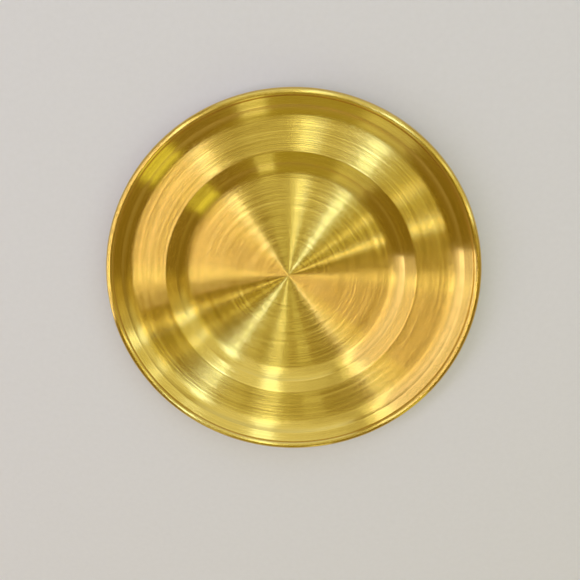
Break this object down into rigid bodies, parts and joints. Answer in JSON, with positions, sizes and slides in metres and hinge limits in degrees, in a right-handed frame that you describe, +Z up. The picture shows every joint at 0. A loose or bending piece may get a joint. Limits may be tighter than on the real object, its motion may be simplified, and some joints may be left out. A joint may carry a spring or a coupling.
{
  "type": "kunefe plate",
  "caption": "Round shallow metal serving plate with a flat brushed well, a wide brushed brim, a polished flared wall and an edge rolled over a wire, for serving hot kunefe.",
  "frame": {"origin": "centre of the plate's flat underside, on the surface it stands on", "axes": "+Z up along the plate's axis of revolution; X and Y are level and alike"},
  "size_m": [0.2, 0.2, 0.0153],
  "materials": {
    "plate_metal": "brushed in circles on the floor and brim, polished on the curved sides and the rim",
    "rim_wire_steel": "drawn wire"
  },
  "bodies": {
    "root": {"plate_body": "plate_metal", "rim_wire": "rim_wire_steel"}
  },
  "joints": []
}
